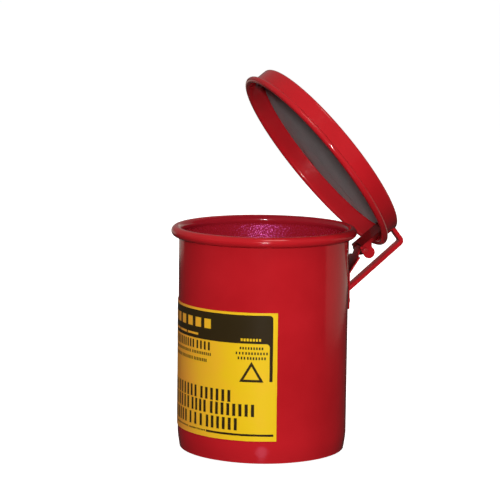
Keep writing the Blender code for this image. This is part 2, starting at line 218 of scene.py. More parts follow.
def red_powder_coat(name, spray=OUTER_SPRAY, shine=COAT_SHINE, lacquer=COAT_LACQUER,
                    painted_shade_reach=0.0):
    """Sprayed and baked red powder coat, with orange peel and rubbed edges, and painted shade in
    hollows where a reach is given.
    """
    material, tree, shader, place = new_finish(name)
    drift = noise(tree, place, COAT_DRIFT_SCALE, 3.0)
    peel = noise(tree, place, spray["peel_scale"], 2.0)
    speck = noise(tree, place, COAT_SPECK_SCALE, 1.0)
    red = blend_colours(tree, stepped(tree, drift, *COAT_DRIFT_SPAN), RED_DEEP, RED_BRIGHT)
    # Faces marked inside take the darker inside red, a painted shade.
    mask = shader_node(tree, "Attribute", {"attribute_name": "inside"}).outputs["Fac"]
    red = blend_colours(tree, mask, red, RED_INSIDE_SHADED)
    bend = tree.nodes.new("ShaderNodeNewGeometry").outputs["Pointiness"]
    rubbed = stepped(tree, bend, *COAT_RUBBED_SPAN, 0.0, COAT_RUBBED_SHARE)
    red = blend_colours(tree, rubbed, red, RED_EDGE)
    # Painted shade: an ambient occlusion reading darkens the base colour towards a near-black red
    # where nearby parts hem the surface in.
    if painted_shade_reach:
        unshaded_share = shader_node(tree, "AmbientOcclusion", {"samples": COAT_PAINTED_SHADE_SAMPLES},
                               Distance=painted_shade_reach).outputs["AO"]
        unshaded_share = stepped(tree, unshaded_share, *COAT_PAINTED_SHADE_SPAN)
        red = blend_colours(tree, unshaded_share, RED_PAINTED_SHADE, red)
    tree.links.new(red, shader.inputs["Base Color"])
    gloss = stepped(tree, peel, *COAT_PEEL_SPAN, *spray["rough"])
    tree.links.new(gloss, shader.inputs["Roughness"])
    fine = relief(tree, speck, spray["speck_bump"], COAT_SPECK_DEPTH)
    wavy = relief(tree, peel, spray["peel_bump"], spray["peel_depth"], fine)
    tree.links.new(wavy, shader.inputs["Normal"])
    tree.links.new(wavy, shader.inputs["Coat Normal"])
    shader.inputs["Specular IOR Level"].default_value = shine
    shader.inputs["Specular Tint"].default_value = spray["sheen"]
    shader.inputs["Coat Weight"].default_value = lacquer
    shader.inputs["Coat Roughness"].default_value = COAT_LACQUER_ROUGH
    return material


def arc_points(centre, radius, start_deg, end_deg, steps):
    """Points along an arc, both ends included."""
    turns = [start_deg + (end_deg - start_deg) * step / steps for step in range(steps + 1)]
    return [(centre[0] + radius * math.cos(math.radians(turn)),
             centre[1] + radius * math.sin(math.radians(turn))) for turn in turns]


def sheet_sides(path, thickness):
    """Both faces of a bent sheet whose middle follows a path."""
    left = []
    right = []
    for index, point in enumerate(path):
        here = Vector(point)
        before = Vector(path[max(index - 1, 0)])
        after = Vector(path[min(index + 1, len(path) - 1)])
        into = (here - before).normalized() if index else (after - here).normalized()
        out = (after - here).normalized() if index < len(path) - 1 else into
        along = (into + out).normalized()
        reach = thickness / 2.0 / max(along.dot(into), 0.5)
        normal = Vector((-along.y, along.x)) * reach
        left.append(tuple(here + normal))
        right.append(tuple(here - normal))
    return left, right


def turned_mesh(outline, steps, closed=False, shares=None):
    """Turn an outline of (radius, height) about the upright axis."""
    bm = bmesh.new()
    mark = bm.verts.layers.float.new("inside") if shares else None
    rings = []
    for index, (radius, height) in enumerate(outline):
        count = 1 if radius < 1e-7 else steps
        ring = []
        for step in range(count):
            turn = math.tau * step / steps
            ring.append(bm.verts.new((radius * math.cos(turn), radius * math.sin(turn), height)))
            if shares:
                ring[-1][mark] = shares[index]
        rings.append(ring)
    pairs = list(zip(rings, rings[1:]))
    if closed:
        pairs.append((rings[-1], rings[0]))
    for low, high in pairs:
        for step in range(steps):
            after = (step + 1) % steps
            corners = [low[step % len(low)], low[after % len(low)],
                       high[after % len(high)], high[step % len(high)]]
            bm.faces.new(list(dict.fromkeys(corners)))
    return bm


def add_piece(name, bm, material, body):
    """Finish a mesh as one shaded piece that rides on a body."""
    bmesh.ops.recalc_face_normals(bm, faces=bm.faces)
    mesh = bpy.data.meshes.new(name)
    bm.to_mesh(mesh)
    bm.free()
    mesh.shade_smooth()
    mesh.set_sharp_from_angle(angle=math.radians(SHARP_DEG))
    mesh.materials.append(material)
    piece = bpy.data.objects.new(name, mesh)
    bpy.context.scene.collection.objects.link(piece)
    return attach(piece, body)


wall_middle = WALL_RADIUS - WALL_SHEET / 2.0
mouth_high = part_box("can_body")[1]
bead_middle = MOUTH_BEAD_RADIUS - WALL_SHEET / 2.0
bead_centre = (mouth_high.x - MOUTH_BEAD_RADIUS, mouth_high.z - MOUTH_BEAD_RADIUS)
neck_centre = wall_middle - MOUTH_NECK_BEND
neck = math.acos((bead_centre[0] - neck_centre) / (MOUTH_NECK_BEND + bead_middle))
neck_deg = math.degrees(neck)
neck_start = bead_centre[1] - (bead_middle + MOUTH_NECK_BEND) * math.sin(neck)
wall_path = [(wall_middle - FOOT_LEAN, FOOT_HEIGHT)]
for share in FOOT_LEAN_SHARES:
    lean = FOOT_LEAN * (1.0 - share) ** FOOT_LEAN_CURVE
    wall_path.append((wall_middle - lean, FOOT_HEIGHT + (FOOT_LEAN_HEIGHT - FOOT_HEIGHT) * share))
wall_heights = [FOOT_LEAN_HEIGHT, FOOT_LEAN_HEIGHT + FOOT_BLEND, *WALL_STATIONS,
                neck_start - MOUTH_NECK_BLEND]
wall_path += [(wall_middle, height) for height in wall_heights]
wall_path += arc_points((neck_centre, neck_start), MOUTH_NECK_BEND, 0.0, neck_deg,
                        MOUTH_NECK_STEPS)
wall_path += arc_points(bead_centre, bead_middle, 180.0 + neck_deg, MOUTH_BEAD_END_DEG,
                        MOUTH_BEAD_STEPS)[1:]
wall_inner, wall_outer = sheet_sides(wall_path, WALL_SHEET)
inner_shares = [min(max((INSIDE_FADE_RADIUS - radius) / INSIDE_FADE_WIDTH, 0.0), 1.0)
                for radius, height in wall_inner]
wall_mesh = turned_mesh(wall_inner + wall_outer[::-1], WALL_TURN_STEPS, closed=True,
                        shares=inner_shares + [0.0] * len(wall_outer))
can_wall = add_piece("can_wall", wall_mesh, red_powder_coat("can_red_coat"), "can")
inside_coat = red_powder_coat("can_red_coat_inside", INNER_SPRAY, shine=1.0, lacquer=0.0)
can_wall.data.materials.append(inside_coat)
neck_ring = sum(1 for radius, height in wall_inner if height < neck_start)
for face in can_wall.data.polygons[:neck_ring * WALL_TURN_STEPS]:
    face.material_index = 1
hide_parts("can_body")

# ---------------------------------------------------------------------------
# Bottom pan.  A pressed steel disc with its flange standing up inside the
# wall, crimped and coated with it; the flat underside is what it stands on.
# ---------------------------------------------------------------------------
PAN_SHEET = 0.0008
PAN_STATIONS = (0.0, 0.02, 0.045)
PAN_CORNER = 0.0030
PAN_CORNER_STEPS = 8
PAN_FLANGE_HEIGHT = 0.0110
PAN_FLANGE_TUCK = 0.0001
PAN_CLEARANCE = 0.0003

pan_half = PAN_SHEET / 2.0
pan_side = WALL_RADIUS - WALL_SHEET - PAN_CLEARANCE - pan_half
pan_foot = pan_side - FOOT_LEAN
pan_path = [(radius, pan_half) for radius in PAN_STATIONS]
pan_path += arc_points((pan_foot - PAN_CORNER, pan_half + PAN_CORNER), PAN_CORNER,
                       -90.0, 0.0, PAN_CORNER_STEPS)
pan_lean = FOOT_LEAN * (1.0 - PAN_FLANGE_HEIGHT / FOOT_LEAN_HEIGHT)
pan_path.append((pan_side - pan_lean - PAN_FLANGE_TUCK, PAN_FLANGE_HEIGHT))
pan_inner, pan_outer = sheet_sides(pan_path, PAN_SHEET)
pan_outline = [(0.0, pan_inner[0][1])] + pan_inner[1:] + pan_outer[:0:-1]
pan_outline.append((0.0, pan_outer[0][1]))
bottom_pan = add_piece("bottom_pan", turned_mesh(pan_outline, WALL_TURN_STEPS),
                       red_powder_coat("pan_red_coat"), "can")
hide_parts("can_bottom")

# ---------------------------------------------------------------------------
# Hinge bracket on the can.  A bent strip of steel: a flat plate riveted to
# the wall, a leaning part with shoulders, and a neck rolled round the pin.
# ---------------------------------------------------------------------------
BRACKET_SHEET = 0.0012
BRACKET_SHINE = 0.05
BRACKET_LACQUER = 0.04
# Reach of the painted shade that darkens the coat in the bracket's hollows.
BRACKET_PAINTED_SHADE_REACH = 0.014
PLATE_HALF_WIDTH = 0.0100
PLATE_BEND_RADIUS = 0.0030
PLATE_BEND_STEPS = 8
PLATE_LEAN_DEG = 34.6
SHOULDER_HEIGHT = 0.1347
SHOULDER_STEP = 0.0005
NECK_HALF_WIDTH = 0.0055
NECK_LEAN_DEG = 21.0
KNUCKLE_BORE = 0.0016
KNUCKLE_WRAP_DEG = 255.0
KNUCKLE_STEPS = 26
STRIP_EDGE = 0.0003
STRIP_EDGE_STEPS = 3
STRIP_ROUNDING = 0.8
STRIP_TIP_THINNING = 0.6


def strip_section(half_width, half_thick, edge):
    """Rounded rectangle across a strip: (across, through) points."""
    corners = ((1, 1, 0), (-1, 1, 90), (-1, -1, 180), (1, -1, 270))
    points = []
    for across, through, start in corners:
        centre = (across * (half_width - edge), through * (half_thick - edge))
        points += arc_points(centre, edge, start, start + 90.0, STRIP_EDGE_STEPS)
    return points


def skinned(bm, rings):
    """Join closed rings of points one after another, and cap both ends."""
    for low, high in zip(rings, rings[1:]):
        for index in range(len(low)):
            after = (index + 1) % len(low)
            bm.faces.new((low[index], low[after], high[after], high[index]))
    bm.faces.new(rings[0])
    bm.faces.new(rings[-1])
    return bm


def strip_mesh(path, half_widths, thickness, edge):
    """Bent flat bar with rounded edges: a section carried along a (y, z) path."""
    half = thickness / 2.0
    first = Vector(path[0]) + (Vector(path[1]) - Vector(path[0])).normalized() * edge
    last = Vector(path[-1]) + (Vector(path[-2]) - Vector(path[-1])).normalized() * edge
    stations = [path[0], tuple(first)] + list(path[1:-1]) + [tuple(last), path[-1]]
    widths = [half_widths[0]] + list(half_widths) + [half_widths[-1]]
    left = sheet_sides(stations, thickness)[0]
    rounding = edge * STRIP_ROUNDING
    bm = bmesh.new()
    rings = []
    for index, station in enumerate(stations):
        tip = rounding if index in (0, len(stations) - 1) else 0.0
        middle = Vector(station)
        normal = (Vector(left[index]) - middle) / half
        ring = []
        for across, through in strip_section(widths[index] - tip,
                                             half - tip * STRIP_TIP_THINNING, rounding):
            point = middle + normal * through
            ring.append(bm.verts.new((across, point.x, point.y)))
        rings.append(ring)
    return skinned(bm, rings)


pin_low, pin_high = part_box("hinge_pin")
pin_place = (pin_low + pin_high) / 2.0
plate_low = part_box("can_bracket")[0]
plate_middle = plate_low.y + BRACKET_SHEET / 2.0
knuckle_start = 180.0 - NECK_LEAN_DEG
knuckle = arc_points((pin_place.y, pin_place.z), KNUCKLE_BORE + BRACKET_SHEET / 2.0,
                     knuckle_start, knuckle_start - KNUCKLE_WRAP_DEG, KNUCKLE_STEPS)
neck_tan = math.tan(math.radians(NECK_LEAN_DEG))
shoulder_y = knuckle[0][0] - (knuckle[0][1] - SHOULDER_HEIGHT) * neck_tan
shoulder = Vector((shoulder_y, SHOULDER_HEIGHT))
lean_tan = math.tan(math.radians(PLATE_LEAN_DEG))
meet_height = SHOULDER_HEIGHT - (shoulder_y - plate_middle) / lean_tan
bend_setback = PLATE_BEND_RADIUS * math.tan(math.radians(PLATE_LEAN_DEG) / 2.0)
plate_path = [(plate_middle, plate_low.z)]
plate_path += arc_points((plate_middle + PLATE_BEND_RADIUS, meet_height - bend_setback),
                         PLATE_BEND_RADIUS, 180.0, 180.0 - PLATE_LEAN_DEG, PLATE_BEND_STEPS)
lean_way = (shoulder - Vector(plate_path[-1])).normalized()
plate_path += [tuple(shoulder - lean_way * SHOULDER_STEP), tuple(shoulder)]
plate_widths = [PLATE_HALF_WIDTH] * (len(plate_path) - 1) + [NECK_HALF_WIDTH]
plate_path += knuckle
plate_widths += [NECK_HALF_WIDTH] * len(knuckle)
bracket_coat = red_powder_coat("bracket_red_coat", shine=BRACKET_SHINE,
                               lacquer=BRACKET_LACQUER, painted_shade_reach=BRACKET_PAINTED_SHADE_REACH)
hinge_bracket = add_piece("hinge_bracket",
                          strip_mesh(plate_path, plate_widths, BRACKET_SHEET, STRIP_EDGE),
                          bracket_coat, "can")
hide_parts("can_bracket")

# ---------------------------------------------------------------------------
# Rivets of the can's bracket.  Round-headed steel rivets, set from outside
# and painted over, with a small upset tail inside the wall.
# ---------------------------------------------------------------------------
RIVET_SHANK = 0.0015
RIVET_HEAD = 0.0030
RIVET_HEAD_HEIGHT = 0.0012
RIVET_HEAD_STEP_DEG = 9
RIVET_TAIL = 0.0025
RIVET_TAIL_STEP_DEG = 15
RIVET_TURN_STEPS = 40
CAN_TAIL_HEIGHT = 0.0008


def rivet_mesh(head_seat, tail_seat, tail_height):
    """A rivet between two seats, its head domed and its tail upset."""
    length = (tail_seat - head_seat).length
    dome = [(RIVET_HEAD * math.sin(math.radians(turn)),
             -RIVET_HEAD_HEIGHT * math.cos(math.radians(turn)))
            for turn in range(0, 91, RIVET_HEAD_STEP_DEG)]
    tail = [(RIVET_TAIL * math.cos(math.radians(turn)),
             length + tail_height * math.sin(math.radians(turn)))
            for turn in range(0, 91, RIVET_TAIL_STEP_DEG)]
    outline = [(0.0, dome[0][1])] + dome[1:] + [(RIVET_SHANK, 0.0), (RIVET_SHANK, length)]
    outline += tail[:-1] + [(0.0, tail[-1][1])]
    bm = turned_mesh(outline, RIVET_TURN_STEPS)
    aim = (tail_seat - head_seat).to_track_quat("Z", "Y").to_matrix().to_4x4()
    bmesh.ops.transform(bm, matrix=Matrix.Translation(head_seat) @ aim, verts=bm.verts)
    return bm


for side in ("left", "right"):
    rivet_low, rivet_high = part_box("can_rivet_" + side)
    middle = (rivet_low + rivet_high) / 2.0
    seat = Vector((middle.x, rivet_high.y - RIVET_HEAD_HEIGHT, middle.z))
    tail_end = Vector((middle.x, rivet_low.y + CAN_TAIL_HEIGHT, middle.z))
    rivet = add_piece("bracket_rivet_" + side, rivet_mesh(seat, tail_end, CAN_TAIL_HEIGHT),
                      red_powder_coat("rivet_red_coat_" + side), "can")
    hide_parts("can_rivet_" + side)

# ---------------------------------------------------------------------------
# Label film.  Printed self-adhesive vinyl, wrapped round the front of the
# wall: a yellow ground that shows as a border round the print.
# ---------------------------------------------------------------------------
FILM_HALF_ANGLE_DEG = 82.0
FILM_THICKNESS = 0.0002
FILM_STEP_DEG = 1.0
FILM_SHINE = 0.22
YELLOW_LIGHT = (0.860, 0.560, 0.0080, 1.0)
# Warmer orange yellow, used for the film's random mottling and for a painted reflection towards
# -X.
YELLOW_MOTTLE_AND_REFLECTION = (1.000, 0.400, 0.045, 1.0)
VINYL_CLOUD_SCALE = 60.0
VINYL_CLOUD_SWING = 0.5
VINYL_GRAIN_SCALE = 1500.0
VINYL_GRAIN_SPAN = (0.3, 0.7)
VINYL_GRAIN_BUMP = (0.08, 0.0001)
VINYL_RIPPLE_SCALE = 110.0
VINYL_RIPPLE_BUMP = (0.10, 0.0004)
# Place along X where the painted reflection on the film has faded out.
VINYL_REFLECTION_END = 0.055
VINYL_ROUGH = (0.30, 0.40)

film_low, film_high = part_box("front_label")
film_radius = WALL_RADIUS + PAN_CLEARANCE + FILM_THICKNESS


def round_can(arc_length, height, radius):
    """Point on the can's wall, from arc length along the label and height."""
    turn = arc_length / film_radius - math.pi / 2.0
    return (radius * math.cos(turn), radius * math.sin(turn), height)


def label_vinyl(name, light, mottle_and_reflection, shine):
    """Glossy printed film with faint unevenness in the ink and the glue, and a warm reflection
    painted in towards -X.
    """
    material, tree, shader, place = new_finish(name)
    cloud = noise(tree, place, VINYL_CLOUD_SCALE, 4.0)
    grain = noise(tree, place, VINYL_GRAIN_SCALE, 2.0)
    ripple = noise(tree, place, VINYL_RIPPLE_SCALE, 2.0)
    swing = shader_node(tree, "Math", {"operation": "MULTIPLY_ADD"}, _0=cloud,
                        _1=VINYL_CLOUD_SWING, _2=-VINYL_CLOUD_SWING / 2.0).outputs[0]
    # Painted reflection: the colour runs to the second, warmer shade towards -X, standing in for a
    # warm reflection on that side of the film.
    across = shader_node(tree, "SeparateXYZ", {}, Vector=place).outputs[0]
    painted_reflection = stepped(tree, across, 0.0, VINYL_REFLECTION_END, 1.0, 0.0)
    share = shader_node(tree, "Math", {"operation": "ADD", "use_clamp": True},
                        _0=painted_reflection, _1=swing).outputs[0]
    tree.links.new(blend_colours(tree, share, light, mottle_and_reflection), shader.inputs["Base Color"])
    gloss = stepped(tree, grain, *VINYL_GRAIN_SPAN, *VINYL_ROUGH)
    tree.links.new(gloss, shader.inputs["Roughness"])
    small = relief(tree, grain, *VINYL_GRAIN_BUMP)
    large = relief(tree, ripple, *VINYL_RIPPLE_BUMP, small)
    tree.links.new(large, shader.inputs["Normal"])
    shader.inputs["Specular IOR Level"].default_value = shine
    return material


film_half = math.radians(FILM_HALF_ANGLE_DEG) * film_radius
film_steps = int(2.0 * FILM_HALF_ANGLE_DEG / FILM_STEP_DEG)
film_under = film_radius - FILM_THICKNESS
film_corners = ((film_under, film_low.z), (film_radius, film_low.z),
                (film_radius, film_high.z), (film_under, film_high.z))
film_mesh = bmesh.new()
film_rings = []
for step in range(film_steps + 1):
    place = film_half * (2.0 * step / film_steps - 1.0)
    film_rings.append([film_mesh.verts.new(round_can(place, height, radius))
                       for radius, height in film_corners])
film_vinyl = label_vinyl("label_yellow_film", YELLOW_LIGHT, YELLOW_MOTTLE_AND_REFLECTION, FILM_SHINE)
film = add_piece("label_film", skinned(film_mesh, film_rings), film_vinyl, "can")
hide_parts("front_label")

# ---------------------------------------------------------------------------
# Print on the label.  Black ink laid on the film: a header band, a narrow
# side strip, plain blocks and bars in rows, a plain triangle and a rule.
# ---------------------------------------------------------------------------
INK_LIFT = 0.00005
INK_STEP = 0.0008
INK_SHINE = 0.12
INK_BLACK = (0.0300, 0.0190, 0.0060, 1.0)
# Second ink shade, for random wear and for the same painted reflection towards -X.
INK_WORN_AND_REFLECTION = (0.0380, 0.0240, 0.0090, 1.0)
BAND_LOW = 0.0845
BAND_HIGH = 0.1040
BAND_END = 0.0828
STRIP_START = 0.0806
STRIP_LOW = 0.0584
CORNER = 0.0025
CORNER_CUT = 0.3
CORNER_STEPS = 8
LINE = 0.0017
TRIANGLE_ENDS = (0.0599, 0.0767)
TRIANGLE_HEIGHTS = (0.0580, 0.0722)
TRIANGLE_FOOT_INSET = 0.6
TRIANGLE_FOOT_LIFT = INK_LIFT * 1.2
RULE_ENDS = (0.0342, 0.0838)
RULE_HEIGHTS = (0.0204, 0.0219)
# Each row: its low and high edge, its bars' width and spacing, and the start
# and end of each group of bars along the label.
ROWS = (
    # Heading of the main panel, and two fine rows under it.
    (0.0774, 0.0832, 0.0017, 0.0030,
     ((-0.0380, -0.0330), (-0.0300, -0.0100), (-0.0065, 0.0215), (0.0243, 0.0371))),
    (0.0737, 0.0757, 0.0010, 0.0017, ((-0.0380, -0.0150), (-0.0120, 0.0175), (0.0195, 0.0380))),
    (0.0690, 0.0712, 0.0010, 0.0017,
     ((-0.0380, -0.0200), (-0.0170, 0.0035), (0.0050, 0.0200), (0.0215, 0.0343))),
    # Three fine rows over the triangle.
    (0.0804, 0.0822, 0.0011, 0.0018, ((0.0600, 0.0762),)),
    (0.0769, 0.0787, 0.0011, 0.0018, ((0.0572, 0.0628), (0.0640, 0.0793))),
    (0.0735, 0.0754, 0.0011, 0.0018, ((0.0587, 0.0640), (0.0652, 0.0780))),
    # Three large rows, and a fine one at the foot.
    (0.0434, 0.0517, 0.0022, 0.0042,
     ((-0.0520, -0.0250), (-0.0200, -0.0030), (0.0000, 0.0247), (0.0287, 0.0537))),
    (0.0340, 0.0425, 0.0022, 0.0042,
     ((-0.0520, -0.0320), (-0.0280, 0.0158), (0.0192, 0.0339), (0.0377, 0.0705))),
    (0.0240, 0.0325, 0.0022, 0.0042,
     ((-0.0520, -0.0240), (-0.0200, 0.0126), (0.0168, 0.0304), (0.0341, 0.0586))),
    (0.0207, 0.0218, 0.0010, 0.0014, ((-0.0520, -0.0100), (-0.0080, 0.0150), (0.0165, 0.0334))),
)


def height_at(place, lengths, heights):
    """Height of a line of straight parts at one place along the label."""
    for index in range(len(lengths) - 1):
        if place <= lengths[index + 1]:
            span = max(lengths[index + 1] - lengths[index], 1e-9)
            share = (place - lengths[index]) / span
            return heights[index] + (heights[index + 1] - heights[index]) * share
    return heights[-1]


def ink_shape(bm, lengths, tops, bottoms, lift=INK_LIFT):
    """Flat patch of ink between a top line and a bottom line, wrapped round the can."""
    places = set(lengths)
    count = max(int((lengths[-1] - lengths[0]) / INK_STEP), 1)
    for step in range(count):
        places.add(lengths[0] + (lengths[-1] - lengths[0]) * step / count)
    radius = film_radius + lift
    columns = []
    for place in sorted(places):
        low = bm.verts.new(round_can(place, height_at(place, lengths, bottoms), radius))
        high = bm.verts.new(round_can(place, height_at(place, lengths, tops), radius))
        columns.append((low, high))
    for before, after in zip(columns, columns[1:]):
        bm.faces.new((before[0], after[0], after[1], before[1]))


def ink_block(bm, start, end, low, high, lift=INK_LIFT):
    """Rectangular block of ink."""
    ink_shape(bm, [start, end], [high, high], [low, low], lift)


ink_mesh = bmesh.new()
# Header band, with its upper left corner rounded off.
ink_shape(ink_mesh, [-BAND_END, -BAND_END + CORNER * CORNER_CUT, -BAND_END + CORNER,
                     STRIP_START - CORNER],
          [BAND_HIGH - CORNER, BAND_HIGH - CORNER * CORNER_CUT, BAND_HIGH, BAND_HIGH],
          [BAND_LOW] * 4)
# The band's rounded inner corner beside the strip.
inner_corner = arc_points((STRIP_START - CORNER, BAND_LOW - CORNER), CORNER, 90.0, 0.0,
                          CORNER_STEPS)
ink_shape(ink_mesh, [place for place, height in inner_corner],
          [BAND_HIGH] * len(inner_corner), [height for place, height in inner_corner])
# The strip down the right side, with its rounded outer corner.
outer_corner = arc_points((BAND_END - CORNER, BAND_HIGH - CORNER), CORNER, 90.0, 0.0,
                          CORNER_STEPS)
ink_shape(ink_mesh, [STRIP_START] + [place for place, height in outer_corner[1:]],
          [BAND_HIGH] + [height for place, height in outer_corner[1:]],
          [STRIP_LOW] * len(outer_corner))
for low, high, wide, pitch, groups in ROWS:
    for start, end in groups:
        count = max(round((end - start) / pitch), 1)
        spacing = (end - start - wide) / max(count - 1, 1)
        for index in range(count):
            bar_start = start + spacing * index
            ink_block(ink_mesh, bar_start, bar_start + wide, low, high)
# Plain triangle outline: two slopes, and a foot that laps over them.
left_end, right_end = TRIANGLE_ENDS
foot, apex = TRIANGLE_HEIGHTS
middle = (left_end + right_end) / 2.0
slope = (apex - foot) / (middle - left_end)
drop = LINE * math.sqrt(1.0 + slope * slope)
reach = drop / slope
inset = reach * TRIANGLE_FOOT_INSET
ink_shape(ink_mesh, [left_end, left_end + reach, middle], [foot, foot + drop, apex],
          [foot, foot, apex - drop])
ink_shape(ink_mesh, [middle, right_end - reach, right_end], [apex, foot + drop, foot],
          [apex - drop, foot, foot])
ink_block(ink_mesh, left_end + inset, right_end - inset, foot, foot + LINE, TRIANGLE_FOOT_LIFT)
ink_block(ink_mesh, *RULE_ENDS, *RULE_HEIGHTS)
ink = add_piece("label_ink", ink_mesh,
                label_vinyl("label_black_ink", INK_BLACK, INK_WORN_AND_REFLECTION, INK_SHINE), "can")

# ---------------------------------------------------------------------------
# Yellow on the header band.  Plain blocks, dashes and ticks, where the real
# print leaves the film's yellow ground bare.
# ---------------------------------------------------------------------------
HEADER_LIFT = INK_LIFT * 2.0
BLOCK_COUNT = 9
BLOCK_START = -0.0400
BLOCK_PITCH = 0.0090
BLOCK_WIDTH = 0.0058
BLOCK_HEIGHTS = (0.0926, 0.0992)
DASHES = ((-0.0200, 0.0000), (0.0015, 0.0120), (0.0135, 0.0260))
DASH_HEIGHTS = (0.0868, 0.0883)
TICK_COUNT = 7
TICK_START = 0.0606
TICK_PITCH = 0.0021
TICK_WIDTH = 0.0014
TICK_HEIGHTS = (0.0862, 0.0880)

header_mesh = bmesh.new()
for index in range(BLOCK_COUNT):
    start = BLOCK_START + index * BLOCK_PITCH
    ink_block(header_mesh, start, start + BLOCK_WIDTH, *BLOCK_HEIGHTS, HEADER_LIFT)
for start, end in DASHES:
    ink_block(header_mesh, start, end, *DASH_HEIGHTS, HEADER_LIFT)
for index in range(TICK_COUNT):
    start = TICK_START + index * TICK_PITCH
    ink_block(header_mesh, start, start + TICK_WIDTH, *TICK_HEIGHTS, HEADER_LIFT)
header = add_piece("label_header_blocks", header_mesh,
                   label_vinyl("label_yellow_print", YELLOW_LIGHT, YELLOW_MOTTLE_AND_REFLECTION, FILM_SHINE),
                   "can")

# ---------------------------------------------------------------------------
# Lid.  A pressed steel pan: flat top, tight corner, straight skirt and a
# rolled bead, coated red.  It is shaped level, then turned open at the pin.
# ---------------------------------------------------------------------------
LID_OPEN_DEG = 52.1
LID_SHEET = 0.0008
LID_CENTRE_Y = 0.0012
LID_SKIRT_RADIUS = 0.07146
LID_TOP = 0.1643
LID_TOP_STATIONS = (0.0, 0.03, 0.06)
LID_CORNER_RADIUS = 0.0020
LID_CORNER_STEPS = 10
LID_BEAD_BOTTOM = 0.1480
LID_BEAD_RADIUS = 0.0022
LID_BEAD_WRAP_DEG = 275.0
LID_BEAD_STEPS = 26
LID_TURN_STEPS = 256

open_turn = Matrix.Rotation(math.radians(-LID_OPEN_DEG), 4, "X")
lid_turn = Matrix.Translation(pin_place) @ open_turn @ Matrix.Translation(-pin_place)


def opened(bm, turn=lid_turn):
    """Turn a piece of the lid from level to open about the hinge pin."""
    bmesh.ops.transform(bm, matrix=turn, verts=bm.verts)
    return bm


skirt_middle = LID_SKIRT_RADIUS - LID_SHEET / 2.0
lid_top_middle = LID_TOP - LID_SHEET / 2.0
lid_bend = LID_CORNER_RADIUS - LID_SHEET / 2.0
lid_bead = LID_BEAD_RADIUS - LID_SHEET / 2.0
lid_path = [(radius, lid_top_middle) for radius in LID_TOP_STATIONS]
lid_path += arc_points((skirt_middle - lid_bend, lid_top_middle - lid_bend), lid_bend,
                       90.0, 0.0, LID_CORNER_STEPS)
lid_path += arc_points((skirt_middle + lid_bead, LID_BEAD_BOTTOM + LID_BEAD_RADIUS), lid_bead,
                       180.0, 180.0 + LID_BEAD_WRAP_DEG, LID_BEAD_STEPS)
lid_outer, lid_inner = sheet_sides(lid_path, LID_SHEET)
lid_outline = [(0.0, LID_TOP)] + lid_outer[1:] + lid_inner[:0:-1] + [(0.0, LID_TOP - LID_SHEET)]
lid_mesh = opened(turned_mesh(lid_outline, LID_TURN_STEPS),
                  lid_turn @ Matrix.Translation((0.0, LID_CENTRE_Y, 0.0)))
lid = add_piece("lid_pan", lid_mesh, red_powder_coat("lid_red_coat"), "lid")
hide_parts("lid_shell")

# ---------------------------------------------------------------------------
# Liner in the lid.  A die-cut disc of grey closed-cell sheet, glued under the
# lid to deaden it, with fine cells, soft clouding and a faint sheen.
# ---------------------------------------------------------------------------
LINER_DARK = (0.0900, 0.0830, 0.0860, 1.0)
LINER_PALE = (0.1400, 0.1300, 0.1340, 1.0)
LINER_CLOUD_SCALE = 45.0
LINER_CLOUD_SPAN = (0.32, 0.68)
LINER_CLOUD_BUMP = (0.20, 0.0006)
LINER_CELL_SCALE = 1100.0
LINER_CELL_SPAN = (0.0, 0.8)
LINER_CELL_BUMP = (0.25, 0.0002)
LINER_GRAIN_SCALE = 900.0
LINER_GRAIN_SPAN = (0.45, 0.75)
LINER_GRAIN_SHARE = 0.5
LINER_ROUGH = (0.50, 0.68)
LINER_SHEEN = 0.15
LINER_EDGE = 0.0003
WELD_REACH = 1e-6
BEVEL_SEGMENTS = 2
BEVEL_FROM_DEG = 40.0


def liner_sheet(name):
    """Closed-cell foam sheet with fine cells and soft clouding."""
    material, tree, shader, place = new_finish(name)
    cloud = noise(tree, place, LINER_CLOUD_SCALE, 5.0)
    grain = noise(tree, place, LINER_GRAIN_SCALE, 3.0)
    cells = shader_node(tree, "TexVoronoi", {}, Vector=place, Scale=LINER_CELL_SCALE).outputs[0]
    grey = blend_colours(tree, stepped(tree, cloud, *LINER_CLOUD_SPAN), LINER_DARK, LINER_PALE)
    pale_share = stepped(tree, grain, *LINER_GRAIN_SPAN, 0.0, LINER_GRAIN_SHARE)
    grey = blend_colours(tree, pale_share, grey, LINER_PALE)
    tree.links.new(grey, shader.inputs["Base Color"])
    gloss = stepped(tree, cells, *LINER_CELL_SPAN, *LINER_ROUGH)
    tree.links.new(gloss, shader.inputs["Roughness"])
    pits = relief(tree, cells, *LINER_CELL_BUMP)
    soft = relief(tree, cloud, *LINER_CLOUD_BUMP, pits)
    tree.links.new(soft, shader.inputs["Normal"])
    shader.inputs["Sheen Weight"].default_value = LINER_SHEEN
    return material


def dress_node(name, material, edge):
    """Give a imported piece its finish, and break its sharp edges."""
    node = nodes[name]
    node.data.materials.clear()
    node.data.materials.append(material)
    weld = node.modifiers.new("weld", "WELD")
    weld.merge_threshold = WELD_REACH
    bevel = node.modifiers.new("edge_break", "BEVEL")
    bevel.width = edge
    bevel.segments = BEVEL_SEGMENTS
    bevel.limit_method = "ANGLE"
    bevel.angle_limit = math.radians(BEVEL_FROM_DEG)
    bevel.use_clamp_overlap = True


dress_node("lid_liner", liner_sheet("liner_grey_sheet"), LINER_EDGE)

# ---------------------------------------------------------------------------
# Hinge bracket on the lid.  Pressed steel: a flange under the lid's top, a
# web with a window, and two ears that end in round lobes beyond the pin.
# ---------------------------------------------------------------------------
LID_BRACKET_LACQUER = 0.15
# Reach of the painted shade that darkens the coat in the lid bracket's hollows.
LID_BRACKET_PAINTED_SHADE_REACH = 0.040
LID_BRACKET_EDGE = 0.00022

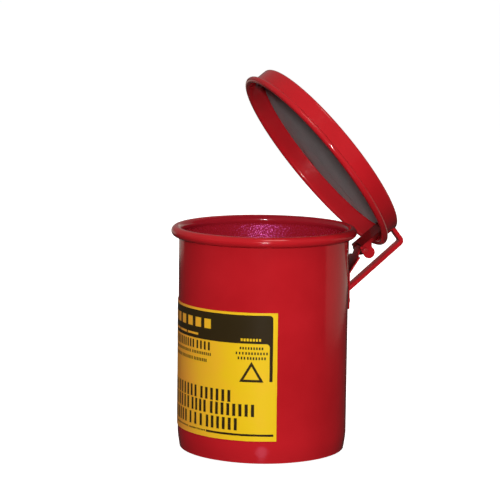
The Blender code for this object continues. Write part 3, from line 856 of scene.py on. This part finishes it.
lid_bracket_coat = red_powder_coat("lid_bracket_red_coat", lacquer=LID_BRACKET_LACQUER,
                                   painted_shade_reach=LID_BRACKET_PAINTED_SHADE_REACH)
dress_node("lid_bracket", lid_bracket_coat, LID_BRACKET_EDGE)

# ---------------------------------------------------------------------------
# Finger lever.  One flat steel bar, riveted to the lid's top and bent down
# behind the can, where its end stops on the bracket when the lid is open.
# ---------------------------------------------------------------------------
BAR_THICKNESS = 0.0029
BAR_HALF_WIDTH = 0.00375
BAR_BEND_RADIUS = 0.0026
BAR_BEND_STEPS = 10
BAR_OUTER_Y = 0.0886
BAR_FOOT_Y = 0.0450
BAR_SPLAY_DEG = 1.6
BAR_CLEARANCE = 0.0003
BAR_EDGE = 0.0004

bar_half = BAR_THICKNESS / 2.0
bar_height = LID_TOP + BAR_CLEARANCE + bar_half
bar_bend = (BAR_OUTER_Y - bar_half - BAR_BEND_RADIUS, bar_height - BAR_BEND_RADIUS)
bar_path = [(BAR_FOOT_Y, bar_height)]
bar_path += arc_points(bar_bend, BAR_BEND_RADIUS, 90.0, BAR_SPLAY_DEG, BAR_BEND_STEPS)
splay = math.radians(BAR_SPLAY_DEG)
bar_down = Vector((0.0, math.sin(splay), -math.cos(splay)))
bar_start = Vector((0.0, *bar_path[-1]))
bar_inner = bar_start - bar_half * Vector((0.0, math.cos(splay), math.sin(splay)))
# The bar ends where its inner face, turned open, meets the can's bracket.
stop_y = plate_low.y + BRACKET_SHEET + BAR_CLEARANCE
opened_inner = lid_turn @ bar_inner
opened_down = open_turn @ bar_down
bar_end = bar_start + bar_down * ((stop_y - opened_inner.y) / opened_down.y)
bar_path.append((bar_end.y, bar_end.z))
bar_mesh = strip_mesh(bar_path, [BAR_HALF_WIDTH] * len(bar_path), BAR_THICKNESS, BAR_EDGE)
lever = add_piece("finger_lever", opened(bar_mesh), red_powder_coat("lever_red_coat"), "lid")
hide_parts("lid_lever")

# ---------------------------------------------------------------------------
# Rivets of the lid.  Two round-headed rivets down through the lever, the lid
# and the bracket's flange, painted over with the lid.
# ---------------------------------------------------------------------------
LID_RIVET_PLACES = (("front", 0.0515), ("back", 0.0615))
LID_TAIL_HEIGHT = 0.0005
FLANGE_SHEET = 0.0010

for end, place in LID_RIVET_PLACES:
    seat = Vector((0.0, place, LID_TOP + 2.0 * BAR_CLEARANCE + BAR_THICKNESS))
    tail_end = Vector((0.0, place, LID_TOP - LID_SHEET - 2.0 * BAR_CLEARANCE - FLANGE_SHEET))
    rivet = add_piece("lever_rivet_" + end, opened(rivet_mesh(seat, tail_end, LID_TAIL_HEIGHT)),
                      red_powder_coat("lid_rivet_red_coat_" + end), "lid")
    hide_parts("lid_rivet_" + end)

# ---------------------------------------------------------------------------
# Hinge pin.  Steel wire with a small formed head at each end, coated red
# together with the can; the coat lies thick and glossy on it.
# ---------------------------------------------------------------------------
PIN_RADIUS = 0.0014
PIN_HEAD = 0.0018
PIN_HEAD_HEIGHT = 0.0006
PIN_HEAD_STEP_DEG = 10
PIN_SHINE = 1.0
PIN_LACQUER = 1.0

pin_tip = pin_high.x - pin_place.x
pin_seat = pin_tip - PIN_HEAD_HEIGHT
head = [(PIN_HEAD * math.cos(math.radians(turn)),
         pin_seat + PIN_HEAD_HEIGHT * math.sin(math.radians(turn)))
        for turn in range(0, 90, PIN_HEAD_STEP_DEG)]
upper = [(PIN_RADIUS, pin_seat)] + head + [(0.0, pin_tip)]
lower = [(radius, -height) for radius, height in reversed(upper)]
pin_mesh = turned_mesh(lower + upper, RIVET_TURN_STEPS)
lay_down = Matrix.Translation(pin_place) @ Matrix.Rotation(math.pi / 2.0, 4, "Y")
bmesh.ops.transform(pin_mesh, matrix=lay_down, verts=pin_mesh.verts)
pin_coat = red_powder_coat("pin_red_coat", shine=PIN_SHINE, lacquer=PIN_LACQUER)
pin = add_piece("pin", pin_mesh, pin_coat, "lid")
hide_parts("hinge_pin")

# ---------------------------------------------------------------------------
# Floor and light.  A plain pale floor under a dim sky; a soft key lamp beside
# the camera with a side lamp, an overhead one and two fills; and two panels
# and a low round lamp that are there only for the coat to mirror.
# ---------------------------------------------------------------------------
FLOOR_HALF = 60.0
FLOOR_HEIGHT = -0.0002
FLOOR_GLOW = 0.84
FLOOR_ROUGH = 0.9
FLOOR_SHINE = 0.1
FLOOR_MOTTLE_SCALE = 3.0
FLOOR_DARK = (0.86, 0.86, 0.86, 1.0)
FLOOR_PALE = (0.92, 0.92, 0.92, 1.0)
WHITE_GLOW = (1.0, 1.0, 1.0, 1.0)
SKY_COLOUR = (1.0, 0.97, 0.94, 1.0)
SKY_GLOW = 0.20
UNDER_GLOW = 0.035
SKY_RISE = (-0.02, 0.10)
LAMP_AIM_HEIGHT = 0.12
WHITE = (1.0, 1.0, 1.0)
WARM_OVERHEAD = (1.0, 0.90, 0.80)
WARM_RIGHT = (1.0, 0.82, 0.68)
WARM_LEFT = (1.0, 0.85, 0.75)
PINK_LOW = (1.0, 0.50, 0.80)


def pale_floor(name):
    """Matt pale paper sweep, lit evenly, with a trace of mottling."""
    material, tree, shader, place = new_finish(name)
    cloud = noise(tree, place, FLOOR_MOTTLE_SCALE, 3.0)
    tree.links.new(blend_colours(tree, cloud, FLOOR_DARK, FLOOR_PALE), shader.inputs["Base Color"])
    shader.inputs["Roughness"].default_value = FLOOR_ROUGH
    shader.inputs["Specular IOR Level"].default_value = FLOOR_SHINE
    shader.inputs["Emission Color"].default_value = WHITE_GLOW
    shader.inputs["Emission Strength"].default_value = FLOOR_GLOW
    return material


floor_mesh = bpy.data.meshes.new("floor")
floor_corners = [(x * FLOOR_HALF, y * FLOOR_HALF, FLOOR_HEIGHT)
                 for x, y in ((-1, -1), (1, -1), (1, 1), (-1, 1))]
floor_mesh.from_pydata(floor_corners, [], [(0, 1, 2, 3)])
floor_mesh.materials.append(pale_floor("floor_paper"))
floor = bpy.data.objects.new("floor", floor_mesh)
floor.visible_glossy = False
floor.visible_diffuse = False
floor.visible_shadow = False
bpy.context.scene.collection.objects.link(floor)
floor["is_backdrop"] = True

sky = bpy.data.worlds.new("dim_sky")
bpy.context.scene.world = sky
sky.use_nodes = True
sky_tree = sky.node_tree
sky_way = sky_tree.nodes.new("ShaderNodeTexCoord").outputs["Generated"]
sky_height = shader_node(sky_tree, "SeparateXYZ", {}, Vector=sky_way).outputs[2]
sky_light = stepped(sky_tree, sky_height, *SKY_RISE, UNDER_GLOW, SKY_GLOW)
sky_tree.links.new(sky_light, sky_tree.nodes["Background"].inputs["Strength"])
sky_tree.nodes["Background"].inputs["Color"].default_value = SKY_COLOUR


def soft_lamp(name, turn_deg, rise_deg, distance, width, height, power, tint=WHITE,
              lean_deg=0.0, glossy=True, diffuse=True, shape="RECTANGLE"):
    """Flat lamp, placed by its turn from the camera's side and its rise."""
    lamp = bpy.data.lights.new(name, "AREA")
    lamp.shape = shape
    lamp.size = width
    lamp.size_y = height
    lamp.energy = power
    lamp.color = tint
    holder = bpy.data.objects.new(name, lamp)
    turn = math.radians(CAMERA_HEADING_DEG - 90.0 + turn_deg)
    rise = math.radians(rise_deg)
    away = Vector((math.cos(turn) * math.cos(rise), math.sin(turn) * math.cos(rise),
                   math.sin(rise)))
    place = Matrix.Translation(Vector((0.0, 0.0, LAMP_AIM_HEIGHT)) + away * distance)
    aim = away.to_track_quat("Z", "Y").to_matrix().to_4x4()
    holder.matrix_world = place @ aim @ Matrix.Rotation(math.radians(lean_deg), 4, "Z")
    holder.visible_camera = False
    holder.visible_glossy = glossy
    holder.visible_diffuse = diffuse
    bpy.context.scene.collection.objects.link(holder)


soft_lamp("lamp_key", turn_deg=0.0, rise_deg=11.3, distance=1.7,
          width=0.14, height=0.05, power=18.5)
soft_lamp("lamp_side", turn_deg=9.0, rise_deg=12.0, distance=1.7,
          width=0.08, height=0.06, power=4.5, glossy=False)
soft_lamp("lamp_over", turn_deg=20.0, rise_deg=62.0, distance=1.4,
          width=0.50, height=0.50, power=4.0, tint=WARM_OVERHEAD)
soft_lamp("panel_right", turn_deg=135.0, rise_deg=0.8, distance=0.75,
          width=1.50, height=0.33, power=0.60, tint=WARM_RIGHT, lean_deg=5.0, diffuse=False)
soft_lamp("panel_left", turn_deg=-158.0, rise_deg=-1.0, distance=0.90,
          width=0.75, height=0.20, power=0.18, tint=WARM_LEFT, diffuse=False)
soft_lamp("lamp_low", turn_deg=0.0, rise_deg=-29.0, distance=0.8,
          width=0.18, height=0.20, power=0.20, tint=PINK_LOW, diffuse=False, shape="ELLIPSE")
soft_lamp("fill_left", turn_deg=-112.0, rise_deg=22.0, distance=1.5,
          width=0.60, height=0.60, power=3.0, glossy=False)
soft_lamp("fill_back", turn_deg=172.0, rise_deg=42.0, distance=1.5,
          width=0.80, height=0.80, power=7.0, glossy=False)

bpy.context.scene.view_settings.view_transform = "Standard"
bpy.context.scene.view_settings.look = "None"

low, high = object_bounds()
